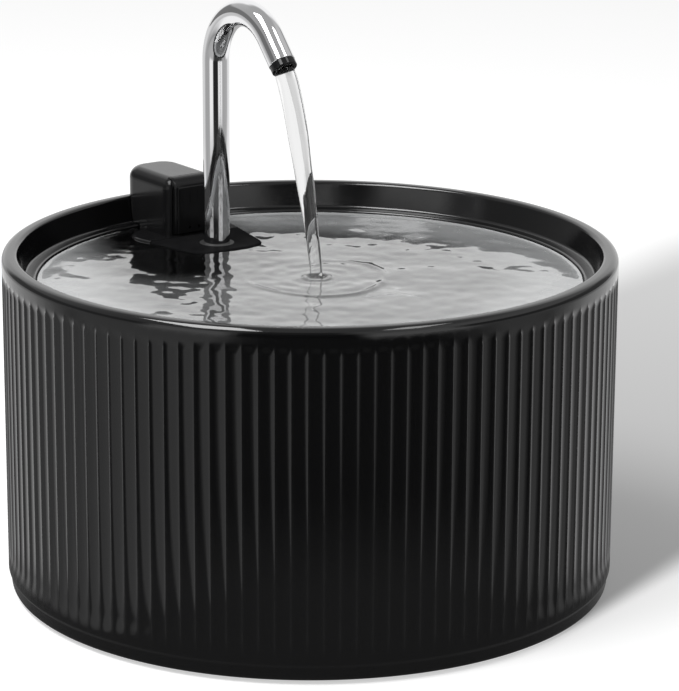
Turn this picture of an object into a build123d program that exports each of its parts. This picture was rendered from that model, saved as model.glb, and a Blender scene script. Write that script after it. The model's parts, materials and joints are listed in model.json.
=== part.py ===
from build123d import *
import math
import os

# Pet water fountain: a ribbed ceramic basin with a pump tower that lifts out.
# Millimetres. Origin on the basin's axis, on the floor. +Z up, the tower stands at +Y
# and the faucet pours towards -Y.

# ---- basin ----
basin_diameter = 210.0
basin_height = 118.5
rim_wall = 5.2
rim_outer_round = 2.6
rim_inner_round = 1.6
ledge_drop = 9.2             # rim top down to the inner ledge
rim_draft = 2.3              # how much the inner face leans in over that drop
ledge_width = 4.4
ledge_round = 1.0
floor_thickness = 6.0
cavity_draft = 1.8
cavity_round = 5.0
foot_lift = 1.2              # ceramic foot above the floor, on its pads
foot_recess = 1.8            # underside hollow above the foot ring
foot_ring_width = 27.0
foot_band_height = 5.8
foot_band_step = 1.0
foot_round = 1.6
reed_count = 126
reed_groove_radius = 1.5
reed_groove_depth = 0.8
reed_top_margin = 5.9        # smooth band above the grooves
reed_bottom_margin = 2.0     # smooth band between foot band and grooves
pad_count = 4
pad_radius = 8.0
pad_circle_radius = 88.0
pad_pocket = 1.0

# ---- clearances ----
rest_gap = 0.3               # between pieces that only stand on each other
slide_gap = 0.15             # each side of a sliding piece
lift_gap = 0.4               # round pieces that lift past each other
turn_gap = 0.05              # radial, on a turning or sliding round fit
overcut = 1.0                # how far a cutting shape runs past the face it opens

# ---- pump tower ----
tower_rear_gap = 4.1         # to the basin's wall at the ledge
tower_depth = 43.0
tower_front_half = 15.5
tower_front_corner = 8.5
tower_rear_half = 20.5
tower_rear_corner = 10.0
tower_wall = 2.0
tower_floor = 2.0
tower_foot_height = 2.7
tower_foot_radius = 4.5
tower_top_drop = 0.9         # lid below the basin's ledge
lid_thickness = 2.0
lid_edge_round = 0.9
lid_skirt = 3.0
lid_skirt_wall = 1.4

# ---- riser that stands over the rim ----
riser_half = 10.5
riser_depth = 31.7
riser_rear_inset = 0.8       # from the basin's outer face
riser_rise = 11.0            # above the rim
riser_round = 4.2            # upright edges in front
riser_rear_round = 8.0       # upright edges over the basin's wall
riser_top_round = 4.1
riser_wall = 1.8
riser_seat_wall = 1.2
cover_half = 7.8
cover_wall = 2.2
cover_gap = 0.3              # seam round the cover
cover_lift_clear = 0.8       # cover above the lid
cover_plate_step = 0.6
cover_plate_drop = 3.3       # ledge of the plate below the riser's top
cover_plate_margin = 1.05    # plate's sides, in from the cover's
cover_plate_round = 0.3
cover_tongue = 0.6
cover_tongue_thickness = 0.8
grip_rib_height = 4.4
grip_rib_width = 0.6
grip_rib_spacing = 3.0
grip_rib_drop = 1.4
grip_rib_step = 0.2
weep_radius = 0.5
weep_spacing = 4.0
weep_rise = 2.0

# ---- faucet ----
faucet_setback = 11.5        # tube axis behind the tower's front
tube_radius = 4.7
tube_wall = 0.7
tube_rise = 55.6             # straight part above the basin's rim
bend_radius = 19.4
bend_angle = 138.3
tube_tail = 10.2
nozzle_collar = 2.6
nozzle_collar_step = 0.15
nozzle_plug = 6.0
nozzle_bore_radius = 3.2
nozzle_edge_round = 0.4
vane_thickness = 0.6
vane_length = 5.0
coupling_wall = 1.15
coupling_length = 33.2
spigot_engagement = 10.0
grommet_wall = 1.45
grommet_flange = 0.8
grommet_flange_height = 0.5
grommet_depth = 3.2

# ---- intake ----
grille_height = 38.2
grille_depth = 5.0
grille_slot_count = 7
grille_slot_width = 1.5
grille_slot_pitch = 2.4
grille_slot_margin = 4.0
grille_shelf = 1.4
pad_thickness = 1.2
pad_half = 8.4
foam_thickness = 1.8
foam_half = 10.6
filter_top_gap = 1.0

# ---- pump ----
rotor_rise = 15.0            # rotor axis above the tower's inner floor
head_depth = 8.0
head_radius = 12.2
head_front_wall = 1.7
volute_radius = 10.2
spigot_radius = 3.8
spigot_bore_radius = 2.6
intake_hole_count = 6
intake_hole_radius = 1.2
intake_circle_radius = 4.6
rail_length = 18.0
rail_width = 1.2
gate_half = 7.0
gate_height = 12.0
gate_thickness = 0.9
gate_tab = 2.0
gate_tab_inset = 2.0
body_half = 13.6
body_rear_gap = 1.4
body_height = 31.6
body_round = 2.0
body_wall = 1.4
rear_plate = 1.8
well_radius = 6.6
well_wall = 1.0
well_depth = 17.2
seal_section = 0.7
magnet_radius = 6.0
magnet_length = 15.0
magnet_back_gap = 1.2
impeller_radius = 9.0
impeller_disc = 1.0
impeller_blades = 6
blade_thickness = 1.0
blade_height = 3.0
blade_tip_inset = 0.5
hub_radius = 2.6
shaft_radius = 0.75
bush_radius = 2.0
bush_length = 1.6
bush_housing_wall = 0.8
core_half = 11.6
core_leg = 3.2
core_depth = 12.0
core_leg_drop = 5.0          # legs below the rotor's axis
core_front_gap = 1.0
core_well_gap = 0.7          # coil above the rotor's well
coil_half = 5.0
coil_wall = 1.6
coil_lower_wall = 1.0
coil_front_wall = 0.8
board_thickness = 1.2
board_half = 9.0
board_gap = 0.8
lead_radius = 1.5
lead_setback = 5.1           # lead in front of the pump body's rear
lead_gland_radius = 2.6
lead_gland_height = 3.6
lead_bend = 5.0
cord_gland_radius = 2.3
cord_gland_flange = 0.6

# ---- derived ----
basin_radius = basin_diameter / 2
rim_inner = basin_radius - rim_wall
ledge_outer = rim_inner - rim_draft
ledge_inner = ledge_outer - ledge_width
ledge_z = basin_height - ledge_drop
floor_z = foot_lift + foot_recess + floor_thickness
foot_band_top = foot_lift + foot_band_height
cavity_bottom_radius = ledge_inner - cavity_draft
tower_rear_y = ledge_inner - tower_rear_gap
tower_front_y = tower_rear_y - tower_depth
tower_top = ledge_z - tower_top_drop
tower_bottom = floor_z + tower_foot_height + rest_gap
tower_inner_floor = tower_bottom + tower_floor
lid_bottom = tower_top - lid_thickness
shell_top = lid_bottom - rest_gap
riser_rear_y = basin_radius - riser_rear_inset
riser_front_y = riser_rear_y - riser_depth
riser_top = basin_height + riser_rise
cover_split_y = riser_front_y + riser_round
cover_bottom = tower_top + cover_lift_clear
cover_plate_top = riser_top - cover_plate_drop
cover_front_y = riser_front_y - cover_plate_step
flange_front_y = cover_front_y
lid_split_y = flange_front_y - lift_gap
seat_z = basin_height + rest_gap
faucet_y = tower_front_y + faucet_setback
rotor_z = tower_inner_floor + rotor_rise
head_front_y = faucet_y - head_depth / 2
head_rear_y = head_front_y + head_depth
chamber_front_y = head_front_y + head_front_wall
body_rear_y = tower_rear_y - tower_wall - body_rear_gap
body_bottom = tower_inner_floor + lift_gap
body_top = body_bottom + body_height
coupling_radius = tube_radius + coupling_wall
coupling_bottom = body_top + rest_gap
coupling_top = coupling_bottom + coupling_length
spigot_top = coupling_bottom + spigot_engagement
tube_bottom = spigot_top + rest_gap + turn_gap
tube_straight_top = basin_height + tube_rise
grommet_radius = tube_radius + grommet_wall
grille_bottom = tower_inner_floor + rest_gap
grille_top = grille_bottom + grille_height
grille_back_y = tower_front_y + grille_depth
pad_front_y = tower_front_y + tower_wall + rest_gap
filter_bottom = grille_bottom + grille_shelf
filter_top = grille_top - filter_top_gap
core_top = body_top - body_wall - coil_wall - rest_gap
coil_bottom = rotor_z + well_radius + well_wall + core_well_gap
yoke_bottom = coil_bottom + coil_lower_wall
lead_y = body_rear_y - lead_setback
lead_bottom = body_top - body_wall - lift_gap
cord_gland_z = seat_z + riser_seat_wall + cord_gland_radius + cord_gland_flange + rest_gap
cord_gland_nose_y = riser_rear_y + rest_gap


def block(x0, x1, y0, y1, z0, z1):
    """Box between two corners."""
    middle = Pos((x0 + x1) / 2, (y0 + y1) / 2, (z0 + z1) / 2)
    return middle * Box(x1 - x0, y1 - y0, z1 - z0)


def post(radius, z0, z1, x=0.0, y=0.0):
    """Upright cylinder from z0 to z1."""
    return Pos(x, y, (z0 + z1) / 2) * Cylinder(radius, z1 - z0)


def drum(radius, y0, y1, x=0.0, z=rotor_z):
    """Cylinder along Y from y0 to y1."""
    return Pos(x, (y0 + y1) / 2, z) * Rot(90, 0, 0) * Cylinder(radius, y1 - y0)


def turned(points, rounds):
    """Revolve a closed profile of (radius, height) points, with the named corners rounded."""
    outline = make_face(Polyline(*points, close=True))
    for point, radius in rounds:
        corner = outline.vertices().sort_by_distance((point[0], point[1], 0))[0]
        outline = fillet(corner, radius)
    return revolve(Plane.XZ * outline, Axis.Z)


def tower_plan(inset, z0, z1):
    """Upright prism of the tower's outline, drawn in by inset."""
    front_x = tower_front_half - tower_front_corner
    rear_x = tower_rear_half - tower_rear_corner
    front_y = tower_front_y + tower_front_corner
    rear_y = tower_rear_y - tower_rear_corner
    corners = [(front_x, front_y, tower_front_corner), (-front_x, front_y, tower_front_corner)]
    corners += [(rear_x, rear_y, tower_rear_corner), (-rear_x, rear_y, tower_rear_corner)]
    rounds = Sketch() + [Pos(x, y) * Circle(r - inset) for x, y, r in corners]
    outline = make_hull(rounds.edges())
    return Pos(0, 0, z0) * extrude(outline, z1 - z0)


def one_solid(shape):
    """The single solid of a finished piece, so a stray sliver is caught at once."""
    solids = shape.solids()
    assert len(solids) == 1, f"expected one solid, got {len(solids)}"
    return solids[0]


# ---- basin pieces ----
def make_basin():
    """Ceramic basin: turned body with an inner ledge, cut all round by reed grooves."""
    foot_radius = basin_radius - foot_band_step
    foot_inner = foot_radius - foot_ring_width
    recess_z = foot_lift + foot_recess
    foot_edge = (foot_radius, foot_lift)
    rim_outside = (basin_radius, basin_height)
    rim_inside = (rim_inner, basin_height)
    ledge_edge = (ledge_inner, ledge_z)
    cavity_corner = (cavity_bottom_radius, floor_z)
    points = [
        (0, recess_z), (foot_inner, recess_z), (foot_inner, foot_lift), foot_edge,
        (foot_radius, foot_band_top - foot_band_step), (basin_radius, foot_band_top), rim_outside,
        rim_inside, (ledge_outer, ledge_z), ledge_edge, cavity_corner, (0, floor_z),
    ]
    rounds = [(foot_edge, foot_round), (rim_outside, rim_outer_round), (rim_inside, rim_inner_round)]
    rounds += [(ledge_edge, ledge_round), (cavity_corner, cavity_round)]
    body = turned(points, rounds)
    axis_radius = basin_radius + reed_groove_radius - reed_groove_depth
    low = foot_band_top + reed_bottom_margin + reed_groove_radius
    high = basin_height - reed_top_margin - reed_groove_radius
    cutter = post(reed_groove_radius, low, high, x=axis_radius)
    cutter += Pos(axis_radius, 0, low) * Sphere(reed_groove_radius)
    cutter += Pos(axis_radius, 0, high) * Sphere(reed_groove_radius)
    step = 360 / reed_count
    body = body - [Rot(0, 0, (i + 0.5) * step) * cutter for i in range(reed_count)]
    pockets = [at * Cylinder(pad_radius, 2 * pad_pocket) for at in pad_places(foot_lift)]
    return body - pockets


def pad_places(z):
    """Places of the basin's floor pads, at height z."""
    turns = [(i + 0.5) * 360 / pad_count for i in range(pad_count)]
    return [Rot(0, 0, turn) * Pos(pad_circle_radius, 0, z) for turn in turns]


def make_basin_pads():
    """Silicone pads, set in pockets of the foot ring."""
    height = foot_lift + pad_pocket
    pads = [at * Cylinder(pad_radius, height) for at in pad_places(height / 2)]
    return Compound(children=pads)


def rim_clearance(gap):
    """Ring that covers the rim and the basin's wall, grown by gap."""
    lean = rim_draft / ledge_drop
    reach = basin_radius + overcut
    low = lid_bottom - overcut
    points = [
        (reach, basin_height + gap), (rim_inner - gap, basin_height + gap),
        (ledge_outer - gap - gap * lean, ledge_z + gap), (ledge_inner - gap, ledge_z + gap),
        (ledge_inner - gap, low), (reach, low),
    ]
    return turned(points, [])


# ---- tower pieces ----
def make_tower_shell():
    """Tower shell: open top, with a window in front for the intake grille."""
    shell = tower_plan(0, tower_bottom, shell_top)
    shell -= tower_plan(tower_wall, tower_inner_floor, shell_top + overcut)
    wide = tower_rear_half
    window = block(-wide, wide, tower_front_y - overcut, grille_back_y + slide_gap,
                   grille_bottom - slide_gap, grille_top + slide_gap)
    return shell - window


def make_tower_feet():
    """Soft feet under the tower."""
    front_y = tower_front_y + tower_front_corner
    rear_y = tower_rear_y - tower_rear_corner
    front_x = tower_front_half - tower_front_corner
    rear_x = tower_rear_half - tower_rear_corner
    places = [(front_x, front_y), (-front_x, front_y), (rear_x, rear_y), (-rear_x, rear_y)]
    low = tower_bottom - tower_foot_height
    feet = [post(tower_foot_radius, low, tower_bottom, x, y) for x, y in places]
    return Compound(children=feet)


def lid_side(shape):
    """The part of a tower shape in front of the split between lid and riser."""
    wide = tower_rear_half
    return shape & block(-wide, wide, tower_front_y, lid_split_y, floor_z, tower_top)


def make_tower_lid():
    """Lid over the front of the tower, with a skirt and the grommet's hole."""
    top = tower_plan(0, lid_bottom, tower_top)
    top = fillet(top.edges().group_by(Axis.Z)[-1], lid_edge_round)
    skirt_inset = tower_wall + lift_gap
    skirt = tower_plan(skirt_inset, lid_bottom - lid_skirt, lid_bottom)
    skirt -= tower_plan(skirt_inset + lid_skirt_wall, lid_bottom - lid_skirt - overcut, lid_bottom)
    lid = lid_side(top + skirt)
    return lid - post(grommet_radius, lid_bottom - overcut, tower_top + overcut, y=faucet_y)


def make_lid_grommet():
    """Soft ring, flush in the lid, that the faucet's tube turns and slides in."""
    low = tower_top - grommet_depth
    ring = post(grommet_radius, low, tower_top, y=faucet_y)
    flange_low = lid_bottom - grommet_flange_height
    ring += post(grommet_radius + grommet_flange, flange_low, lid_bottom, y=faucet_y)
    return ring - post(tube_radius + turn_gap, low - overcut, tower_top + overcut, y=faucet_y)


# ---- riser pieces ----
def riser_form(low, inset=0.0, front_inset=0.0):
    """Rounded block of the riser, drawn in by inset at its sides, top and rear."""
    half = riser_half - inset
    form = block(-half, half, riser_front_y + front_inset, riser_rear_y - inset, low, riser_top - inset)
    form = fillet(form.edges().filter_by(Axis.Z).group_by(Axis.Y)[0], riser_round - inset)
    form = fillet(form.edges().filter_by(Axis.Z).group_by(Axis.Y)[-1], riser_rear_round - inset)
    return fillet(form.edges().group_by(Axis.Z)[-1], riser_top_round - inset)


def cover_opening(gap):
    """Space of the front cover in the riser's front and top, grown by gap."""
    half = cover_half + gap
    high = riser_top + overcut
    space = block(-half, half, riser_front_y - overcut, cover_split_y + gap, cover_bottom - gap, high)
    tongue_half = half + cover_tongue
    tongue_y = riser_front_y + cover_wall / 2
    reach = cover_tongue_thickness / 2 + gap
    return space + block(-tongue_half, tongue_half, tongue_y - reach, tongue_y + reach,
                         cover_bottom - gap, high)


def riser_hollow(inset):
    """Hollow of the riser, which stays inset inside the outer block and clear of the rim."""
    space = riser_form(lid_bottom - overcut, inset, cover_wall + rest_gap)
    high = riser_top + overcut
    seat = post(basin_radius, seat_z + riser_seat_wall, high)
    duct = post(ledge_outer - rest_gap - inset - rim_draft / ledge_drop, ledge_z + rest_gap, high)
    low_duct = post(ledge_inner - rest_gap - inset, lid_bottom - overcut, high)
    return space & (seat + duct + low_duct)


def make_riser_shell():
    """Riser: hollow block that stands on the rim, with the flange that closes the tower's rear."""
    wide = tower_rear_half
    flange = tower_plan(0, lid_bottom, tower_top)
    flange = fillet(flange.edges().group_by(Axis.Z)[-1], lid_edge_round)
    flange &= block(-wide, wide, flange_front_y, tower_rear_y, lid_bottom, tower_top)
    shell = riser_form(lid_bottom) - rim_clearance(rest_gap)
    shell = shell + flange
    shell -= riser_hollow(riser_wall)
    shell -= cover_opening(cover_gap)
    inner_y = riser_rear_y - riser_wall
    hole = drum(cord_gland_radius, inner_y - overcut, riser_rear_y + overcut, z=cord_gland_z)
    return one_solid(shell - hole)


def make_riser_cover():
    """Front cover of the riser, which slides up in two grooves."""
    back_y = riser_front_y + cover_wall
    skin = riser_form(lid_bottom) & cover_opening(0)
    skin -= block(-riser_half, riser_half, back_y, cover_split_y + overcut,
                  lid_bottom, riser_top - cover_wall)
    plate_half = cover_half - cover_plate_margin
    plate = block(-plate_half, plate_half, cover_front_y, back_y, cover_bottom, cover_plate_top)
    skin += fillet(plate.edges().group_by(Axis.Y)[0], cover_plate_round)
    rib_top = cover_plate_top - grip_rib_drop
    rib_front_y = cover_front_y - grip_rib_step
    for side in (-1, 1):
        x = side * grip_rib_spacing / 2
        skin += block(x - grip_rib_width / 2, x + grip_rib_width / 2, rib_front_y, back_y,
                      rib_top - grip_rib_height, rib_top)
        skin -= drum(weep_radius, cover_front_y - overcut, back_y + overcut,
                     x=side * weep_spacing / 2, z=cover_bottom + weep_rise)
    return one_solid(skin)


def make_cord_gland():
    """Soft gland in the riser's rear wall, where the cord comes out."""
    inner_y = riser_rear_y - riser_wall
    gland = drum(cord_gland_radius, inner_y, cord_gland_nose_y, z=cord_gland_z)
    flange_y = inner_y - cord_gland_flange
    gland += drum(cord_gland_radius + cord_gland_flange, flange_y, inner_y, z=cord_gland_z)
    return gland - drum(lead_radius, flange_y - overcut, cord_gland_nose_y + overcut, z=cord_gland_z)


# ---- faucet pieces ----
def tube_path():
    """Centre line of the tube, drawn in the YZ plane: straight, bend and tail."""
    rise = Line((faucet_y, tube_bottom), (faucet_y, tube_straight_top))
    bend = JernArc(rise @ 1, (0, 1), bend_radius, bend_angle)
    tail = Line(bend @ 1, bend @ 1 + (bend % 1) * tube_tail)
    return Plane.YZ * (Curve() + [rise, bend, tail])


def tube_mouth():
    """Plane at the tube's mouth that looks along the pour."""
    turn = math.radians(bend_angle)
    end_y = faucet_y - bend_radius * (1 - math.cos(turn)) - tube_tail * math.sin(turn)
    end_z = tube_straight_top + bend_radius * math.sin(turn) + tube_tail * math.cos(turn)
    pour = (0, -math.sin(turn), math.cos(turn))
    return Plane(origin=(0, end_y, end_z), x_dir=(1, 0, 0), z_dir=pour)


def make_faucet_tube():
    """Steel tube with its gooseneck."""
    ring = Circle(tube_radius) - Circle(tube_radius - tube_wall)
    start = Plane(origin=(0, faucet_y, tube_bottom), z_dir=(0, 0, 1))
    return one_solid(sweep(start * ring, path=tube_path()))


def make_nozzle_insert():
    """Black insert in the tube's mouth: a plug inside and a collar outside."""
    plug_radius = tube_radius - tube_wall
    part = Pos(0, 0, -nozzle_plug / 2) * Cylinder(plug_radius, nozzle_plug)
    collar = Pos(0, 0, nozzle_collar / 2) * Cylinder(tube_radius - nozzle_collar_step, nozzle_collar)
    part += fillet(collar.edges().group_by(Axis.Z)[-1], nozzle_edge_round)
    part -= post(nozzle_bore_radius, -nozzle_plug - overcut, nozzle_collar + overcut)
    return tube_mouth().location * part


def make_flow_straightener():
    """Cross of thin vanes inside the insert's bore."""
    bore = Cylinder(nozzle_bore_radius, vane_length)
    span = 2 * nozzle_bore_radius + overcut
    cross = Box(span, vane_thickness, vane_length) + Box(vane_thickness, span, vane_length)
    middle = nozzle_collar / 2 - vane_length / 2
    return tube_mouth().location * Pos(0, 0, middle) * (cross & bore)


def make_outlet_coupling():
    """Silicone sleeve between the pump's spigot and the tube."""
    sleeve = post(coupling_radius, coupling_bottom, coupling_top, y=faucet_y)
    stop = (spigot_top + tube_bottom) / 2
    sleeve -= post(spigot_radius + turn_gap, coupling_bottom - overcut, stop, y=faucet_y)
    return sleeve - post(tube_radius + turn_gap, stop, coupling_top + overcut, y=faucet_y)


# ---- intake pieces ----
def make_intake_grille():
    """Front of the tower that pulls off forwards, slotted, with a shelf for pad and foam."""
    wide = tower_rear_half
    front = tower_plan(0, grille_bottom, grille_top)
    front -= tower_plan(tower_wall, grille_bottom - overcut, grille_top + overcut)
    front &= block(-wide, wide, tower_front_y, grille_back_y, grille_bottom, grille_top)
    low = grille_bottom + grille_slot_margin
    high = grille_top - grille_slot_margin
    first = -(grille_slot_count - 1) / 2
    for i in range(grille_slot_count):
        x = (first + i) * grille_slot_pitch
        front -= block(x - grille_slot_width / 2, x + grille_slot_width / 2,
                       tower_front_y - overcut, tower_front_y + tower_wall + overcut, low, high)
    shelf = tower_plan(tower_wall, grille_bottom, grille_bottom + grille_shelf)
    shelf &= block(-wide, wide, tower_front_y, grille_back_y, grille_bottom, grille_top)
    return one_solid(front + shelf)


def make_filter_pad():
    """Thin carbon pad behind the slots."""
    rear_y = pad_front_y + pad_thickness
    return block(-pad_half, pad_half, pad_front_y, rear_y, filter_bottom, filter_top)


def make_foam_sponge():
    """Foam between the pad and the pump's head."""
    front_y = pad_front_y + pad_thickness
    return block(-foam_half, foam_half, front_y, front_y + foam_thickness, filter_bottom, filter_top)


# ---- pump pieces ----
def gate_span():
    """Front and rear Y of the flow gate, and its lowest and highest Z."""
    rear = head_front_y - slide_gap
    low = rotor_z - gate_height / 2
    return rear - gate_thickness, rear, low, low + gate_height


def intake_holes(y0, y1):
    """Round holes on a circle about the rotor's axis."""
    holes = []
    for i in range(intake_hole_count):
        turn = math.radians(i * 360 / intake_hole_count)
        x = intake_circle_radius * math.cos(turn)
        z = rotor_z + intake_circle_radius * math.sin(turn)
        holes.append(drum(intake_hole_radius, y0, y1, x=x, z=z))
    return holes


def make_pump_head():
    """Front of the pump: volute chamber, intake holes, gate rails and outlet spigot."""
    head = drum(head_radius, head_front_y, head_rear_y)
    head += block(-spigot_radius, spigot_radius, head_front_y, head_rear_y, rotor_z, body_top)
    head += post(spigot_radius, rotor_z + volute_radius, spigot_top, y=faucet_y)
    front, _, low, high = gate_span()
    rail = rail_length / 2
    head += block(-rail, rail, front, chamber_front_y, high + slide_gap, high + slide_gap + rail_width)
    head += block(-rail, rail, front, chamber_front_y, low - slide_gap - rail_width, low - slide_gap)
    head -= drum(volute_radius, chamber_front_y, head_rear_y + overcut)
    head -= post(spigot_bore_radius, rotor_z, spigot_top + overcut, y=faucet_y)
    head -= intake_holes(head_front_y - overcut, chamber_front_y + overcut)
    front_bush = bush_y()[0]
    head += drum(bush_radius + bush_housing_wall, head_front_y, front_bush + bush_length)
    head -= drum(bush_radius, front_bush, front_bush + bush_length + overcut)
    return one_solid(head - make_head_seal())


def bush_y():
    """Start Y of the front and of the rear shaft bush."""
    return head_front_y + bush_housing_wall, head_rear_y + well_depth - bush_length


def make_flow_gate():
    """Flat gate that slides across the intake holes."""
    front, rear, low, high = gate_span()
    gate = block(-gate_half, gate_half, front, rear, low, high)
    gate += block(gate_half, gate_half + gate_tab, front, rear, low + gate_tab_inset, high - gate_tab_inset)
    return gate - intake_holes(front - overcut, rear + overcut)


def make_head_seal():
    """Seal between head and body, round the volute chamber."""
    middle = (volute_radius + head_radius) / 2
    front = head_rear_y - seal_section
    ring = drum(middle + seal_section / 2, front, head_rear_y)
    return ring - drum(middle - seal_section / 2, front - overcut, head_rear_y + overcut)


def make_pump_body():
    """Pump body: a box open at the rear, with the rotor's well let in from the front."""
    body = block(-body_half, body_half, head_rear_y, body_rear_y, body_bottom, body_top)
    body = fillet(body.edges().filter_by(Axis.Y), body_round)
    inner_front = head_rear_y + body_wall
    body -= block(-body_half + body_wall, body_half - body_wall, inner_front, body_rear_y + overcut,
                  body_bottom + body_wall, body_top - body_wall)
    body += drum(well_radius + well_wall, head_rear_y, head_rear_y + well_depth + well_wall)
    rear_bush = bush_y()[1]
    body -= drum(well_radius, head_rear_y - overcut, rear_bush)
    body -= drum(bush_radius, rear_bush - overcut, rear_bush + bush_length)
    gland_hole = post(lead_gland_radius, body_top - body_wall - overcut, body_top + overcut, y=lead_y)
    return one_solid(body - gland_hole)


def make_rear_plate():
    """Plate that closes the pump body's rear."""
    half = body_half - body_wall
    return block(-half, half, body_rear_y - rear_plate, body_rear_y,
                 body_bottom + body_wall, body_top - body_wall)


def core_span():
    """Front and rear Y of the stator core."""
    front = head_rear_y + body_wall + core_front_gap
    return front, front + core_depth


def make_stator_core():
    """Laminated core: a yoke over the well and a leg down each side."""
    front, rear = core_span()
    low = rotor_z - core_leg_drop
    core = block(-core_half, core_half, front, rear, yoke_bottom, core_top)
    core += block(-core_half, -core_half + core_leg, front, rear, low, core_top)
    return core + block(core_half - core_leg, core_half, front, rear, low, core_top)


def make_stator_coil():
    """Coil wound round the yoke."""
    front, rear = core_span()
    reach = coil_half + overcut
    return coil_window() - block(-reach, reach, front, rear, yoke_bottom, core_top)


def coil_window():
    """Outer block of the coil, yoke included."""
    front, rear = core_span()
    return block(-coil_half, coil_half, front - coil_front_wall, rear + coil_wall,
                 coil_bottom, core_top + coil_wall)


def make_driver_board():
    """Small driver board behind the core."""
    rear = body_rear_y - rear_plate - board_gap
    low = body_bottom + body_wall + lead_gland_radius
    top = body_top - body_wall - lead_gland_radius
    return block(-board_half, board_half, rear - board_thickness, rear, low, top)


def make_potting():
    """Resin that fills the body round the core, coil and board."""
    half = body_half - body_wall
    fill = block(-half, half, head_rear_y + body_wall, body_rear_y - rear_plate,
                 body_bottom + body_wall, body_top - body_wall)
    fill -= drum(well_radius + well_wall, head_rear_y, head_rear_y + well_depth + well_wall)
    fill -= coil_window()
    fill -= make_stator_core()
    fill -= make_driver_board()
    return one_solid(fill - post(lead_gland_radius, lead_bottom, body_top + overcut, y=lead_y))


def make_shaft_bushes():
    """Front and rear bushes of the rotor's shaft."""
    bushes = [drum(bush_radius, y, y + bush_length) for y in bush_y()]
    bore = drum(shaft_radius, head_front_y - overcut, body_rear_y)
    return Compound(children=[one_solid(bush - bore) for bush in bushes])


def make_rotor_shaft():
    """Fixed ceramic shaft that the rotor turns on."""
    front, rear = bush_y()
    return drum(shaft_radius, front, rear + bush_length)


def magnet_span():
    """Front and rear Y of the rotor magnet."""
    rear = bush_y()[1] - magnet_back_gap
    return rear - magnet_length, rear


def make_rotor_magnet():
    """Ring magnet in the well."""
    front, rear = magnet_span()
    bore = drum(shaft_radius + turn_gap, front - overcut, rear + overcut)
    return drum(magnet_radius, front, rear) - bore


def make_impeller():
    """Impeller: hub, disc and straight blades, joined to the magnet."""
    front, _ = magnet_span()
    disc = drum(impeller_radius, front - impeller_disc, front)
    blade_front = front - impeller_disc - blade_height
    wheel = disc + drum(hub_radius, blade_front, front)
    for i in range(impeller_blades):
        blade = block(0, impeller_radius - blade_tip_inset, blade_front, front - impeller_disc,
                      -blade_thickness / 2, blade_thickness / 2)
        wheel += Pos(0, 0, rotor_z) * Rot(0, i * 360 / impeller_blades, 0) * blade
    return one_solid(wheel - drum(shaft_radius + turn_gap, blade_front - overcut, front + overcut))


# ---- lead ----
def make_lead_gland():
    """Gland on the pump's top."""
    high = body_top + lead_gland_height
    gland = post(lead_gland_radius, lead_bottom, high, y=lead_y)
    return gland - post(lead_radius, lead_bottom - overcut, high + overcut, y=lead_y)


def make_pump_lead():
    """Lead from the pump up the riser's duct and back through the rear gland."""
    corner = (lead_y, cord_gland_z)
    end = (cord_gland_nose_y, cord_gland_z)
    path = FilletPolyline((lead_y, lead_bottom), corner, end, radius=lead_bend)
    start = Plane(origin=(0, lead_y, lead_bottom), z_dir=(0, 0, 1))
    return one_solid(sweep(start * Circle(lead_radius), path=Plane.YZ * path))


NODES = {
    "basin": make_basin,
    "basin_pads": make_basin_pads,
    "tower_shell": make_tower_shell,
    "tower_feet": make_tower_feet,
    "tower_lid": make_tower_lid,
    "lid_grommet": make_lid_grommet,
    "riser_shell": make_riser_shell,
    "riser_cover": make_riser_cover,
    "cord_gland": make_cord_gland,
    "faucet_tube": make_faucet_tube,
    "nozzle_insert": make_nozzle_insert,
    "flow_straightener": make_flow_straightener,
    "outlet_coupling": make_outlet_coupling,
    "intake_grille": make_intake_grille,
    "filter_pad": make_filter_pad,
    "foam_sponge": make_foam_sponge,
    "pump_head": make_pump_head,
    "head_seal": make_head_seal,
    "flow_gate": make_flow_gate,
    "pump_body": make_pump_body,
    "pump_rear_plate": make_rear_plate,
    "pump_potting": make_potting,
    "stator_core": make_stator_core,
    "stator_coil": make_stator_coil,
    "driver_board": make_driver_board,
    "shaft_bushes": make_shaft_bushes,
    "rotor_shaft": make_rotor_shaft,
    "rotor_magnet": make_rotor_magnet,
    "impeller": make_impeller,
    "lead_gland": make_lead_gland,
    "pump_lead": make_pump_lead,
}

os.makedirs("parts", exist_ok=True)
for name, make in NODES.items():
    export_step(make(), f"parts/{name}.step")
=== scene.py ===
"""Looks of a pet water fountain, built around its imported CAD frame.

Sizes are written in millimetres and turned into metres where a mesh is made. The basin stands on
the floor with its axis on Z, the pump tower is at +Y and the faucet pours towards -Y.
"""

import json
import logging
import math
from dataclasses import dataclass
from enum import Enum

import bpy
import numpy as np
from mathutils import Matrix, Vector


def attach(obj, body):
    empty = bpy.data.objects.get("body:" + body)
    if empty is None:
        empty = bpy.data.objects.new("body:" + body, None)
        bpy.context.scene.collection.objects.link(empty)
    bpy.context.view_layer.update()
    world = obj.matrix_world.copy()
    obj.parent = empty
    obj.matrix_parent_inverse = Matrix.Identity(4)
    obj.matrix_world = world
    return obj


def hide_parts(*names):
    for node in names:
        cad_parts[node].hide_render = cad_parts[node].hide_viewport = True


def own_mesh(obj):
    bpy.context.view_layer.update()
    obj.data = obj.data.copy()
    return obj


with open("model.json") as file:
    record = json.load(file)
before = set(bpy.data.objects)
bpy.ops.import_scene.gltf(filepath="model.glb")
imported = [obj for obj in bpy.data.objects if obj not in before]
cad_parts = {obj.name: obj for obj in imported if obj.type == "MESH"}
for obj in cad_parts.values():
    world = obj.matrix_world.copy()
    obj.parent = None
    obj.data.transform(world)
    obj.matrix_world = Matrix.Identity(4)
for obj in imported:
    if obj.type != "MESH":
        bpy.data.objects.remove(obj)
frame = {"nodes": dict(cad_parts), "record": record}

Pair = tuple[float, float]
Pairs = tuple[Pair, ...]
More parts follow.
